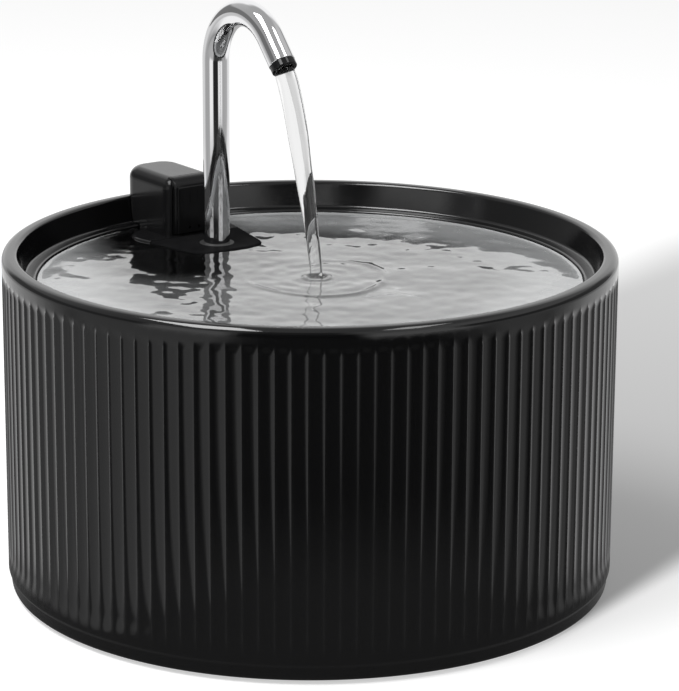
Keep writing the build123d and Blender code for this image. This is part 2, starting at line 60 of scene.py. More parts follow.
Triple = tuple[float, float, float]
Arc = tuple[Pair, float]
Array = np.ndarray
Piece = bpy.types.Object
Material = bpy.types.Material
Socket = bpy.types.NodeSocket

LOG = logging.getLogger("pet_fountain")
MM = 0.001
FULL_TURN = 2 * math.pi
CAMERA_TURN = math.radians(-35.4)
WHOLE = (0.0, 1.0)
NOISE_SPAN = (0.3, 0.7)
# Scale at which the Wave texture has one band to the metre.
BAND_SCALE = 0.314
BLACK = (0.0, 0.0, 0.0)
WHITE = (1.0, 1.0, 1.0)


def metres(pair: Pair) -> Pair:
    """Return two lengths given in millimetres."""
    return pair[0] * MM, pair[1] * MM


class Graph:
    """Adds and links the nodes of one material or world."""

    def __init__(self, owner: Material | bpy.types.World) -> None:
        """Clear the nodes of a material or a world."""
        owner.use_nodes = True
        self.owner = owner
        self.tree = owner.node_tree
        self.tree.nodes.clear()

    def node(self, kind: str, inputs: dict | None = None, **settings: object) -> bpy.types.Node:
        """Add a node.

        Args:
            kind: Node type without its ShaderNode prefix.
            inputs: Value or output socket for each input, by name or by place.
            **settings: Attributes of the node itself.
        """
        made = self.tree.nodes.new("ShaderNode" + kind)
        for name, value in settings.items():
            setattr(made, name, value)
        for key, value in (inputs or {}).items():
            if isinstance(value, Socket):
                self.tree.links.new(value, made.inputs[key])
            else:
                made.inputs[key].default_value = value
        return made

    def math(self, operation: str, first: object, second: object = 0.0) -> Socket:
        """Return the result of one arithmetic node on two values or sockets."""
        return self.node("Math", {0: first, 1: second}, operation=operation).outputs[0]

    def length(self, vector: Socket) -> Socket:
        """Return the length of a vector."""
        return self.node("VectorMath", {0: vector}, operation="LENGTH").outputs["Value"]

    def spread(self, value: Socket, source: Pair, target: Pair = WHOLE, kind: str = "LINEAR") -> Socket:
        """Map a value from one span to another, kept inside the target."""
        names = ("Value", "From Min", "From Max", "To Min", "To Max")
        inputs = dict(zip(names, (value, *source, *target)))
        return self.node("MapRange", inputs, interpolation_type=kind).outputs["Result"]

    def ease(self, value: Socket, source: Pair, target: Pair = WHOLE) -> Socket:
        """Map a value from one span to another with soft ends."""
        return self.spread(value, source, target, "SMOOTHSTEP")

    def ramp(self, value: Socket, stops: list[tuple[float, Triple]]) -> Socket:
        """Return the colour of a ramp with the given stops."""
        made = self.node("ValToRGB", {"Fac": value})
        elements = made.color_ramp.elements
        while len(elements) < len(stops):
            elements.new(1.0)
        for element, (place, colour) in zip(elements, stops):
            element.position = place
            element.color = (*colour, 1.0)
        return made.outputs["Color"]

    def tones(self, noise: Socket, dark: Triple, light: Triple) -> Socket:
        """Return a colour that a noise carries from one tone to another."""
        return self.ramp(noise, list(zip(NOISE_SPAN, (dark, light))))

    def mix(self, share: object, first: object, second: object) -> Socket:
        """Blend two colours by a share from 0 to 1."""
        colours = [c if isinstance(c, Socket) else (*c, 1.0) for c in (first, second)]
        # Inputs 6 and 7 and output 2 are the Mix node's colour sockets.
        inputs = {0: share, 6: colours[0], 7: colours[1]}
        return self.node("Mix", inputs, data_type="RGBA").outputs[2]

    def place(self, stretch: Triple = WHITE) -> Socket:
        """Return the piece's own coordinates, stretched along each axis."""
        own = self.node("TexCoord").outputs["Object"]
        return self.node("Mapping", {"Vector": own, "Scale": stretch}).outputs["Vector"]

    def noise(
        self, grain: float, detail: float = 4.0, rough: float = 0.55, stretch: Triple = WHITE
    ) -> Socket:
        """Return cloudy noise whose features are about grain millimetres across."""
        inputs = {"Vector": self.place(stretch), "Scale": 1.0 / (grain * MM)}
        return self.node("TexNoise", {**inputs, "Detail": detail, "Roughness": rough}).outputs["Fac"]

    def cells(self, per_metre: float, feature: str = "F1") -> Socket:
        """Return the distance to the nearest of many scattered points."""
        inputs = {"Vector": self.place(), "Scale": per_metre}
        return self.node("TexVoronoi", inputs, feature=feature).outputs["Distance"]

    def bump(self, height: Socket, depth: float, under: Socket | None = None) -> Socket:
        """Return a normal bent by a height field whose full swing is depth millimetres."""
        inputs = {"Height": height, "Strength": 1.0, "Distance": depth * MM}
        if under is not None:
            inputs["Normal"] = under
        return self.node("Bump", inputs).outputs["Normal"]

    def finish(self, **inputs: object) -> Material:
        """End with one main shader that takes these inputs and return the material."""
        shader = self.node("BsdfPrincipled", {key.replace("_", " "): value for key, value in inputs.items()})
        self.node("OutputMaterial", {"Surface": shader.outputs[0]})
        return self.owner


def new_material(name: str) -> Graph:
    """Return the empty graph of a new material."""
    return Graph(bpy.data.materials.new(name))


class Pattern(Enum):
    """What the fine relief of a finish is made of."""

    MOULDED = "moulded"
    GRAIN = "grain"
    FELT = "felt"
    CELLS = "cells"
    WOUND = "wound"
    STACKED = "stacked"


@dataclass(frozen=True)
class Finish:
    """A finish made of two tones, a gloss span and a fine relief.

    Attributes:
        gloss: Lowest and highest roughness.
        grain: Size of the relief's features, in millimetres.
        relief: Its depth, in millimetres.
        values: Fixed values of the shader's own sockets.
    """

    dark: Triple
    light: Triple
    gloss: Pair
    pattern: Pattern
    grain: float
    relief: float
    values: tuple[tuple[str, float], ...] = ()

    def height(self, graph: Graph) -> Socket:
        """Return the relief as a value from 0 to 1."""
        per_metre = 1.0 / (self.grain * MM)
        if self.pattern is Pattern.CELLS:
            return graph.ease(graph.cells(per_metre, "SMOOTH_F1"), source=(0.15, 0.75))
        if self.pattern in (Pattern.WOUND, Pattern.STACKED):
            direction = "X" if self.pattern is Pattern.WOUND else "Y"
            inputs = {"Vector": graph.place(), "Scale": BAND_SCALE * per_metre, "Detail": 1.0}
            inputs["Distortion"] = 0.4
            return graph.node("TexWave", inputs, bands_direction=direction).outputs["Fac"]
        if self.pattern is Pattern.FELT:
            fibres = graph.noise(self.grain, detail=8.0, rough=0.75, stretch=(1.0, 0.25, 1.0))
            return graph.math("MULTIPLY", fibres, graph.noise(3 * self.grain, detail=5.0, rough=0.7))
        if self.pattern is Pattern.GRAIN:
            return graph.noise(self.grain, detail=10.0, rough=0.7)
        return graph.noise(self.grain, detail=3.0, rough=0.5)

    def build(self, name: str) -> Material:
        """Return the material of this finish, under the given name."""
        graph = new_material(name)
        relief = self.height(graph)
        tone = graph.math("ADD", relief, graph.noise(grain=14.0, detail=6.0))
        worn = graph.noise(grain=2.4, detail=8.0, rough=0.65, stretch=(1.0, 1.0, 0.3))
        return graph.finish(
            Base_Color=graph.tones(graph.math("MULTIPLY", tone, 0.5), self.dark, self.light),
            Roughness=graph.spread(worn, NOISE_SPAN, self.gloss),
            Normal=graph.bump(relief, self.relief),
            **dict(self.values),
        )


METAL = (("Metallic", 1.0),)
CLEAR = (("Transmission_Weight", 0.7), ("IOR", 1.41))
FINISHES = {
    "silicone_pad": Finish((0.08, 0.08, 0.082), (0.13, 0.13, 0.13), (0.6, 0.8), Pattern.GRAIN, 0.6, 0.02),
    "black_rubber": Finish((0.018,) * 3, (0.04,) * 3, (0.5, 0.7), Pattern.GRAIN, 0.4, 0.015),
    "clear_silicone": Finish(
        (0.72, 0.74, 0.74), (0.82, 0.83, 0.83), (0.3, 0.45), Pattern.MOULDED, 1.2, 0.01, CLEAR
    ),
    "carbon_pad": Finish((0.05,) * 3, (0.2,) * 3, (0.85, 1.0), Pattern.FELT, 0.5, 0.15),
    "foam": Finish((0.05, 0.11, 0.22), (0.14, 0.27, 0.46), (0.8, 0.95), Pattern.CELLS, 0.7, 0.3),
    "pump_plastic": Finish(
        (0.045, 0.045, 0.05), (0.075, 0.075, 0.08), (0.4, 0.55), Pattern.GRAIN, 0.25, 0.012
    ),
    "white_plastic": Finish(
        (0.76, 0.76, 0.73), (0.86, 0.86, 0.84), (0.3, 0.42), Pattern.MOULDED, 0.8, 0.006
    ),
    "resin": Finish((0.015,) * 3, (0.035,) * 3, (0.1, 0.25), Pattern.MOULDED, 5.0, 0.08),
    "core_steel": Finish(
        (0.28, 0.28, 0.3), (0.52, 0.52, 0.53), (0.35, 0.5), Pattern.STACKED, 0.5, 0.05, METAL
    ),
    "copper_winding": Finish(
        (0.45, 0.18, 0.06), (0.85, 0.45, 0.22), (0.25, 0.38), Pattern.WOUND, 0.22, 0.08, METAL
    ),
    "circuit_board": Finish(
        (0.012, 0.12, 0.04), (0.05, 0.3, 0.12), (0.3, 0.45), Pattern.CELLS, 1.6, 0.03
    ),
    "magnet": Finish((0.07, 0.07, 0.075), (0.15, 0.15, 0.16), (0.45, 0.6), Pattern.GRAIN, 0.3, 0.02),
    "shaft_ceramic": Finish(
        (0.84, 0.82, 0.77), (0.93, 0.92, 0.89), (0.15, 0.25), Pattern.MOULDED, 0.3, 0.002
    ),
    "cable_jacket": Finish((0.03,) * 3, (0.05,) * 3, (0.4, 0.55), Pattern.GRAIN, 0.5, 0.01),
}


@dataclass(frozen=True)
class BlackGlaze:
    """Glossy black glaze, a little duller inside, with painted shading across the reeds: lighter on each
    crest, darker in the flutes.
    """

    body: Triple = (0.0038, 0.0038, 0.0041)
    # Tone of the painted light on each reed's crest; the flutes keep the darker body tone.
    crest: Triple = (0.012, 0.012, 0.0123)
    pit: Triple = (0.03, 0.03, 0.03)
    pit_share: float = 0.35
    outside_gloss: Pair = (0.06, 0.105)
    inside_gloss: Pair = (0.10, 0.16)
    rim_blend: Pair = (100.0, 101.2)

    def build(self) -> Material:
        """Return the glaze, which reads the mesh's crest attribute for its painted shading."""
        graph = new_material("black_glaze")
        level = graph.node("VectorMath", {0: graph.place(), 1: (1.0, 1.0, 0.0)}, operation="MULTIPLY")
        outside = graph.ease(graph.length(level.outputs[0]), metres(self.rim_blend))
        # Painted shading: the crest attribute, broken up by the mottle, lightens each reed's crest over the
        # body tone.
        crest = graph.node("Attribute", attribute_name="crest").outputs["Fac"]
        mottle = graph.noise(grain=3.5, detail=9.0, rough=0.62)
        painted_crest_light = graph.math("MULTIPLY", crest, graph.spread(mottle, source=(0.35, 0.65), target=(0.4, 1.0)))
        pits = graph.ease(graph.cells(per_metre=260.0), source=(0.0, 0.09), target=(1.0, 0.0))
        tone = graph.mix(painted_crest_light, self.body, self.crest)
        tone = graph.mix(graph.math("MULTIPLY", pits, self.pit_share), tone, self.pit)
        dull = graph.math("MULTIPLY", graph.spread(mottle, NOISE_SPAN, self.outside_gloss), outside)
        inside = graph.math("SUBTRACT", 1.0, outside)
        shiny = graph.math("MULTIPLY", graph.spread(mottle, NOISE_SPAN, self.inside_gloss), inside)
        peel = graph.bump(graph.noise(grain=1.6, detail=3.0), depth=0.012)
        relief = graph.bump(pits, depth=0.01, under=peel)
        rough = graph.math("ADD", dull, shiny)
        return graph.finish(Base_Color=tone, Roughness=rough, Normal=relief, IOR=1.6)


@dataclass(frozen=True)
class MouldedBlack:
    """Black moulded plastic with a faint flow, fine scratches and a few dried drops.

    Attributes:
        gloss: Lowest and highest roughness.
        texture: Depth of the moulded texture, in millimetres.
        shine: Strength of the reflection.
    """

    name: str
    gloss: Pair
    texture: float
    shine: float
    dark: Triple = (0.0075, 0.0075, 0.008)
    light: Triple = (0.013, 0.013, 0.0135)
    drop_radius: float = 0.2

    def build(self) -> Material:
        """Return the plastic."""
        graph = new_material(self.name)
        flow = graph.noise(grain=9.0, detail=5.0, stretch=(1.0, 1.0, 0.4))
        scratches = graph.noise(grain=0.35, detail=2.0, stretch=(1.0, 1.0, 0.05))
        edge = graph.math("ABSOLUTE", graph.math("SUBTRACT", graph.cells(per_metre=330.0), self.drop_radius))
        rings = graph.spread(edge, source=(0.0, 0.05), target=(0.04, 0.0))
        fine = graph.bump(graph.noise(grain=0.3, detail=2.0), self.texture)
        return graph.finish(
            Base_Color=graph.ramp(flow, [(0.3, self.dark), (0.75, self.light)]),
            Roughness=graph.math("ADD", graph.spread(scratches, (0.3, 0.75), self.gloss), rings),
            Normal=graph.bump(graph.noise(grain=6.0, detail=2.0), depth=0.01, under=fine),
            Specular_IOR_Level=self.shine,
        )


@dataclass(frozen=True)
class PolishedSteel:
    """Mirror polished steel with faint draw lines and water spots."""

    tone: Triple = (0.86, 0.86, 0.87)
    spot: Triple = (0.74, 0.745, 0.75)
    spot_share: float = 0.5
    spot_gloss: float = 0.1
    gloss: Pair = (0.035, 0.06)

    def build(self) -> Material:
        """Return the steel."""
        graph = new_material("polished_steel")
        spots = graph.ease(graph.cells(per_metre=420.0), source=(0.06, 0.16), target=(1.0, 0.0))
        spots = graph.math("MULTIPLY", spots, graph.spread(graph.noise(grain=7.0), source=(0.5, 0.62)))
        lines = graph.noise(grain=0.25, detail=2.0, stretch=(1.0, 1.0, 0.02))
        lined = graph.spread(lines, (0.35, 0.7), self.gloss)
        wave = graph.noise(grain=12.0, detail=2.0, stretch=(1.0, 1.0, 0.3))
        return graph.finish(
            Base_Color=graph.mix(graph.math("MULTIPLY", spots, self.spot_share), self.tone, self.spot),
            Metallic=1.0,
            Roughness=graph.math("ADD", lined, graph.math("MULTIPLY", spots, self.spot_gloss)),
            Normal=graph.bump(wave, depth=0.012),
        )


@dataclass(frozen=True)
class ClearWater:
    """Clear water, a little milky where fine bubbles gather.

    Attributes:
        tint: Colour of the light that comes through.
        ripple: Depth of the finest ripples; grain is their size and stretch draws them out.
        milk: Share of scattered light, without and with bubbles.
        shine: Strength of the reflection.
        chop: Roughness where tiny ripples gather.
        rim: Share of the tint kept at the water's grazing edges, which a painted shade darkens.
        coat: Share of a second, glossier skin.
    """

    name: str
    tint: Triple
    ripple: float
    stretch: Triple
    grain: float
    milk: Pair
    shine: float
    chop: Pair = (0.0, 0.0)
    rim: float = 1.0
    coat: float = 0.0
    paler: float = 1.06
    edge_shade_span: Pair = (0.4, 0.85)
    gloss: Pair = (0.0, 0.015)

    def build(self) -> Material:
        """Return the water, which reads the mesh's bubbles and chop attributes."""
        graph = new_material(self.name)
        fine = graph.noise(self.grain, detail=3.0, stretch=self.stretch)
        pale = tuple(min(1.0, c * self.paler) for c in self.tint)
        tone = graph.tones(graph.noise(grain=18.0), self.tint, pale)
        bubbles = graph.node("Attribute", attribute_name="bubbles").outputs["Fac"]
        chop = graph.node("Attribute", attribute_name="chop").outputs["Fac"]
        clear = (1.0 - self.milk[0], 1.0 - self.milk[1])
        rough = graph.math("MULTIPLY", chop, graph.spread(fine, NOISE_SPAN, self.chop))
        # Painted shade: the colour goes from the tint to the darker rim tint where the surface turns
        # edge-on.
        facing = graph.node("LayerWeight", {"Blend": 0.5}).outputs["Facing"]
        rim = tuple(self.rim * c for c in self.tint)
        return graph.finish(
            Base_Color=graph.mix(graph.ease(facing, self.edge_shade_span), tone, rim),
            Roughness=graph.math("ADD", rough, graph.spread(fine, NOISE_SPAN, self.gloss)),
            IOR=1.333,
            Specular_IOR_Level=self.shine,
            Coat_Weight=self.coat,
            Coat_Roughness=0.03,
            Coat_IOR=1.42,
            Transmission_Weight=graph.spread(bubbles, WHOLE, clear),
            Normal=graph.bump(fine, self.ripple),
        )


def arc(centre: Pair, radius: float, start: float, end: float, steps: int) -> list[Pair]:
    """Return points on an arc, angles in degrees from the first axis."""
    angles = np.radians(np.linspace(start, end, steps + 1))
    return [(centre[0] + radius * math.cos(a), centre[1] + radius * math.sin(a)) for a in angles]


def once_round(count: int) -> Array:
    """Return evenly spread angles, once round."""
    return np.arange(count) * (FULL_TURN / count)


def bell(value: Array, middle: float, width: float) -> Array:
    """Return a bell curve that is 1 at its middle."""
    return np.exp(-(((value - middle) / width) ** 2))


def smooth_step(value: Array | float, low: float = 0.0, high: float = 1.0) -> Array | float:
    """Ease from 0 at the low value to 1 at the high one, with flat ends."""
    t = np.clip((value - low) / (high - low), 0.0, 1.0)
    return t * t * (3.0 - 2.0 * t)


def points_at(spots: Array, heights: Array) -> Array:
    """Return points above places on the floor, which are given as complex numbers."""
    return np.stack([spots.real, spots.imag, heights], axis=-1).reshape(-1, 3)


def add_object(name: str, data: bpy.types.ID) -> Piece:
    """Add an object with this mesh, lamp or camera to the scene."""
    made = bpy.data.objects.new(name, data)
    bpy.context.scene.collection.objects.link(made)
    return made


def make_object(name: str, vertices: Array, faces: list, sharp: float = 40.0) -> Piece:
    """Make a smooth mesh object.

    Args:
        name: Name of the piece.
        vertices: Points in millimetres, one row each.
        faces: Vertex numbers of each face.
        sharp: Edges that turn by more than this many degrees stay sharp.
    """
    mesh = bpy.data.meshes.new(name)
    mesh.from_pydata((vertices * MM).tolist(), [], faces)
    mesh.polygons.foreach_set("use_smooth", [True] * len(mesh.polygons))
    mesh.set_sharp_from_angle(angle=math.radians(sharp))
    mesh.update()
    return add_object(name, mesh)


def ring_faces(rows: int, around: int, closed: bool = False) -> list[tuple[int, ...]]:
    """Return quads between rows of vertices that go once round, closed from the last row to the first."""
    faces = []
    for row in range(rows if closed else rows - 1):
        low, high = row * around, (row + 1) % rows * around
        for i in range(around):
            j = (i + 1) % around
            faces.append((low + i, low + j, high + j, high + i))
    return faces


def fan(tip: int, first: int, around: int, onward: bool) -> list[tuple[int, ...]]:
    """Return triangles from one vertex to a row that goes once round, onward or backward."""
    edges = [(first + i, first + (i + 1) % around) for i in range(around)]
    return [(tip, a, b) if onward else (tip, b, a) for a, b in edges]


def ring_round(centre: Array, way: Array, radius: float, shape: Array) -> Array:
    """Return a ring of points square to a way, its radius multiplied by a shape."""
    angle = once_round(len(shape))
    side = np.array([1.0, 0.0, 0.0]) - way * way[0]
    side /= np.linalg.norm(side)
    ring = np.outer(np.cos(angle) * shape, side) + np.outer(np.sin(angle) * shape, np.cross(way, side))
    return centre + radius * ring


def mark(piece: Piece, name: str, values: Array) -> None:
    """Store a value for each vertex, for a material to read."""
    attribute = piece.data.attributes.new(name, "FLOAT", "POINT")
    attribute.data.foreach_set("value", values.astype(np.float32))


@dataclass(frozen=True)
class ReededBasin:
    """Ceramic basin with shallow flutes between sharp reeds all round its wall.

    Attributes:
        under: Radius and height of points under the foot; band, ledge and floor give others, and
            each arc has a centre and a radius.
        slope_high: Radius of the upper end of the rim's inner slope; slope_low is the lower end.
        reed_span: Heights where the flutes begin and end, with a fade at either end.
        flute_power: How late the flute's side rises to the reed.
        across: Mesh places across one flute, from a reed, as shares of its width.
    """

    outer: float = 105.0
    height: float = 118.5
    under: Pairs = ((30.0, 3.0), (76.6, 3.0), (77.0, 2.6), (77.0, 1.5), (77.3, 1.2), (88.0, 1.2))
    foot_arc: Arc = ((102.4, 2.8), 1.6)
    band: Pairs = ((104.0, 5.5), (104.12, 6.0), (104.88, 6.9), (105.0, 7.35))
    wall_rows: Triple = (36.0, 62.0, 88.0)
    rim_round: float = 2.6
    rim_inner_round: float = 1.6
    slope_high: float = 99.8
    slope_low: Pair = (97.5, 109.3)
    ledge: Pairs = ((97.72, 110.2), (97.45, 109.58), (96.8, 109.3), (94.7, 109.3))
    ledge_arc: Arc = ((94.1, 108.3), 1.0)
    waist: Pair = (92.2, 60.0)
    bowl_arc: Arc = ((86.3, 14.0), 5.0)
    floor: Pairs = ((60.0, 9.0), (20.0, 9.0))
    reeds: int = 126
    reed_depth: float = 0.62
    reed_span: Pair = (7.4, 113.6)
    low_fade: float = 9.0
    high_fade: float = 4.2
    fade_rows: tuple[int, int] = (10, 9)
    flute_power: float = 2.8
    # Sharpness of the painted shading that lightens each reed's crest.
    painted_crest_power: int = 8
    across: tuple[float, ...] = (0.0, 0.028, 0.09, 0.19, 0.33, 0.5, 0.67, 0.81, 0.91, 0.972)

    def outline(self) -> list[Pair]:
        """Return the turned outline, from under the foot over the rim to the inner floor."""
        lean = math.degrees(math.atan2(self.slope_high - self.slope_low[0], self.height - self.slope_low[1]))
        crest = self.slope_high + self.rim_inner_round * math.tan(math.radians(90.0 - lean) / 2)
        rim = (self.outer - self.rim_round, self.height - self.rim_round)
        inner_rim = (crest, self.height - self.rim_inner_round)
        begin, end = self.reed_span
        low = np.linspace(begin, begin + self.low_fade, self.fade_rows[0])
        high = np.linspace(end - self.high_fade, end, self.fade_rows[1])
        return [
            *self.under,
            *arc(*self.foot_arc, start=-90.0, end=0.0, steps=5),
            *self.band,
            *((self.outer, z) for z in (*low, *self.wall_rows, *high)),
            *arc(rim, self.rim_round, start=0.0, end=90.0, steps=9),
            *arc(inner_rim, self.rim_inner_round, start=90.0, end=180.0 - lean, steps=7),
            *self.ledge,
            *arc(*self.ledge_arc, start=90.0, end=180.0, steps=5),
            self.waist,
            *arc(*self.bowl_arc, start=0.0, end=-90.0, steps=6),
            *self.floor,
        ]

    def flute_depth(self, radius: float, z: float) -> float:
        """Return how deep the flutes are at a point of the outline, as a share."""
        low, high = self.reed_span
        if radius != self.outer or not low <= z <= high:
            return 0.0
        return smooth_step(z - low, 0.0, self.low_fade) * smooth_step(high - z, 0.0, self.high_fade)

    def build(self, glaze: Material) -> Piece:
        """Return the basin, with the crest attribute that its glaze reads for its painted shading."""
        outline = self.outline()
        radii, heights = np.array(outline).T
        fades = np.array([self.flute_depth(*point) for point in outline])[:, None]
        across = np.array(self.across)
        around = self.reeds * len(across)
        angle = (np.arange(self.reeds)[:, None] + across).ravel() * (FULL_TURN / self.reeds)
        side = np.tile(np.abs(1.0 - 2.0 * across), self.reeds)
        groove = self.reed_depth * fades * (1.0 - side ** self.flute_power)
        spots = (radii[:, None] - groove) * np.exp(1j * angle)
        points = points_at(spots, np.broadcast_to(heights[:, None], spots.shape))
        middles = [[0.0, 0.0, heights[0]], [0.0, 0.0, heights[-1]]]
        faces = ring_faces(len(outline), around) + fan(len(points), 0, around, onward=False)
        faces += fan(len(points) + 1, len(points) - around, around, onward=True)
        basin = make_object("basin_reeded", np.concatenate([points, middles]), faces, sharp=50.0)
        # Painted shading: 1 on each reed's crest, falling to 0 in the flutes, and 0 where the flutes fade
        # out.
        painted_crest_mask = (fades * side ** self.painted_crest_power).ravel()
        mark(basin, "crest", np.concatenate([painted_crest_mask, np.zeros(len(middles))]))
        basin.data.materials.append(glaze)
        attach(basin, "basin")
        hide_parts("basin")
        return basin


@dataclass(frozen=True)
class Gooseneck:
    """Steel tube: upright, bend and tail, with a rolled mouth.

    The mouth's rings are given as how far back they lie and their radii.
    """

    y: float = 57.5
    bottom: float = 56.65
    straight_top: float = 174.1
    radius: float = 4.7
    bore: float = 4.0
    bend: float = 19.4
    turn: float = 138.3
    tail: float = 10.2
    tail_rings: Triple = (0.4, 0.8, 0.97)
    mouth_rings: Pairs = ((0.12, 4.7), (0.03, 4.61), (0.0, 4.5), (0.0, 4.1), (0.1, 4.0))
    around: int = 72
    bend_steps: int = 72
    straight_steps: int = 8

    def stations(self) -> list[tuple[Array, Array]]:
        """Return centre points and directions along the tube, up to the mouth."""
        heights = np.linspace(self.bottom, self.straight_top, self.straight_steps + 1)[:-1]
        made = [(np.array([0.0, self.y, z]), np.array([0.0, 0.0, 1.0])) for z in heights]
        for a in math.radians(self.turn) * np.arange(self.bend_steps + 1) / self.bend_steps:
            way = np.array([0.0, -math.sin(a), math.cos(a)])
            y, z = self.y - self.bend * (1 - math.cos(a)), self.straight_top + self.bend * math.sin(a)
            made.append((np.array([0.0, y, z]), way))
        end, along = made[-1]
        return made + [(end + along * self.tail * share, along) for share in (*self.tail_rings, 1.0)]

    def build(self, steel: Material) -> Piece:
        """Return the tube with its outer and inner wall joined at both ends."""
        *stations, (mouth, along) = self.stations()
        sections = [(centre, way, self.radius) for centre, way in stations]
        sections += [(mouth - along * back, along, radius) for back, radius in self.mouth_rings]
        sections += [(centre, way, self.bore) for centre, way in reversed(stations)]
        rows = [ring_round(*section, np.ones(self.around)) for section in sections]
        faces = ring_faces(len(rows), self.around, closed=True)
        tube = make_object("faucet_gooseneck", np.concatenate(rows), faces, sharp=60.0)
        tube.data.materials.append(steel)
        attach(tube, "faucet")
        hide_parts("faucet_tube")
        return tube


@dataclass(frozen=True)
class Ripple:
    """A train of round waves from one point, in millimetres."""

    centre: complex
    length: float
    swing: float
    decay: float
    start: float
    phase: float

    def height(self, spot: Array) -> Array:
        """Return the wave's height at each place."""
        r = np.abs(spot - self.centre)
        swing = self.swing * smooth_step(r, self.start, self.start + self.length) * np.exp(-r / self.decay)
        return swing * np.cos(FULL_TURN * r / self.length + self.phase)


@dataclass(frozen=True)
class WaterSurface:
    """The water in the basin, with rings where the stream falls and small crossing waves.

    Places on the surface are complex numbers, X + Yj. Bends are given as swing, length and phase, the
    crown that the stream throws up as height, radius and width, the dimple in it as depth and radius,
    the wander of the foremost ring as swing, lobes and phase, and the meniscus as height and reach.
    Each edge is the two distances between which something sets in.
    """

    level: float = 107.9
    radius: float = 93.02
    landing: complex = 1.4 - 2.0j
    rings: int = 140
    ring_power: float = 1.12
    around: int = 512
    seed: int = 7
    trains: tuple[Ripple, ...] = (
        Ripple(1.4 - 2.0j, 6.5, 0.16, 11.0, 3.0, 0.6),
        Ripple(1.4 - 2.0j, 10.5, 0.055, 34.0, 5.0, 2.1),
        Ripple(66.0j, 8.5, 0.05, 42.0, 22.0, 0.3),
        Ripple(8.0 - 196.0j, 10.5, 0.3, 60.0, 0.0, 1.2),
        Ripple(-190.0 + 20.0j, 12.5, 0.3, 60.0, 0.0, 0.4),
    )
    bends: tuple[Triple, Triple] = ((2.2, 17.0, 0.7), (2.6, 21.0, 1.9))
    waves: int = 26
    wave_span: Pair = (9.0, 46.0)
    wave_swing: float = 0.052
    wave_power: float = 1.1
    ripples: int = 14
    ripple_span: Pair = (4.6, 8.6)
    ripple_slope: float = 0.0075
    crown: Triple = (0.75, 4.3, 0.9)
    dimple: Pair = (1.1, 3.2)
    front_radius: float = 24.0
    front_swing: float = 0.62
    front_width: float = 1.35
    wander: Triple = (1.2, 3.0, 0.8)
    wall_calm: float = 4.0
    wall_swing: float = 0.25
    meniscus: Pair = (0.45, 0.7)
    bubble_edge: Pair = (56.0, 84.0)
    bubble_share: float = 0.3
    chop_edge: Pair = (50.0, 80.0)
    calm_from: complex = -8.0 + 84.0j
    calm_to: complex = -22.0 + 44.0j
    calm_edge: Pair = (16.0, 44.0)

    def crossing(self, spot: Array) -> Array:
        """Return the height of small waves that cross each other, the shortest ones last."""
        rng = np.random.default_rng(self.seed)
        (swing_x, length_x, phase_x), (swing_y, length_y, phase_y) = self.bends
        bent = spot + swing_x * np.sin(spot.imag / length_x + phase_x)
        bent = bent + 1j * swing_y * np.sin(spot.real / length_y + phase_y)
        (low, high), (short, long) = self.wave_span, self.ripple_span
        total = 0.0
        for number in range(self.waves + self.ripples):
            draw = rng.random()
            if number < self.waves:
                length = low * (high / low) ** draw
                swing = self.wave_swing * (length / high) ** self.wave_power
            else:
                length = short + (long - short) * draw
                swing = self.ripple_slope * length / FULL_TURN
            way, phase = rng.random() * FULL_TURN, rng.random() * FULL_TURN
            along = (bent * np.exp(-1j * way)).real
            total = total + swing * np.sin(FULL_TURN * along / length + phase)
        return total

    def height(self, spot: Array) -> Array:
        """Return the surface's height above its level, in millimetres."""
        off = spot - self.landing
        r = np.abs(off)
        height, radius, width = self.crown
        crown = height * bell(r, radius, width) - self.dimple[0] * bell(r, 0.0, self.dimple[1])
        swing, lobes, phase = self.wander
        wander = swing * np.sin(lobes * np.angle(off) + phase)
        front = self.front_swing * (0.5 - 0.5 * off.imag / np.maximum(r, 1.0))
        front = front * bell(r - wander, self.front_radius, self.front_width)
        return sum(train.height(spot) for train in self.trains) + self.crossing(spot) + crown + front

    def bubbles(self, spot: Array) -> Array:
        """Return the share of fine bubbles: most along the wall, none in the slow water by the tower."""
        dense = smooth_step(np.abs(spot), *self.bubble_edge)
        way = self.calm_to - self.calm_from
        along = np.clip(((spot - self.calm_from) / way).real, 0.0, 1.0)
        away = np.abs(spot - self.calm_from - along * way)
        return (self.bubble_share + (1.0 - self.bubble_share) * dense) * smooth_step(away, *self.calm_edge)

    def build(self, water: Material) -> Piece:
        """Return the surface as a round sheet that meets the wall in a small meniscus."""
        way = np.exp(1j * once_round(self.around))
        along = (way * self.landing.conjugate()).real
        reach = -along + np.sqrt(along ** 2 - abs(self.landing) ** 2 + self.radius ** 2)
        share = (np.arange(1, self.rings + 1) / self.rings) ** self.ring_power
        spot = np.append(self.landing + np.outer(share, reach * way), self.landing)
        from_wall = self.radius - np.abs(spot)
        swing = self.wall_swing + (1.0 - self.wall_swing) * smooth_step(from_wall, 0.0, self.wall_calm)
        rise = self.meniscus[0] * np.exp(-from_wall / self.meniscus[1])
        points = points_at(spot, self.level + self.height(spot) * swing + rise)
        faces = [tuple(reversed(face)) for face in ring_faces(self.rings, self.around)]
        faces += fan(len(spot) - 1, 0, self.around, onward=True)
        sheet = make_object("water_surface", points, faces, sharp=180.0)
        mark(sheet, "bubbles", self.bubbles(spot))
        mark(sheet, "chop", smooth_step(np.abs(spot), *self.chop_edge))
        sheet.data.materials.append(water)
        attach(sheet, "basin")
        return sheet


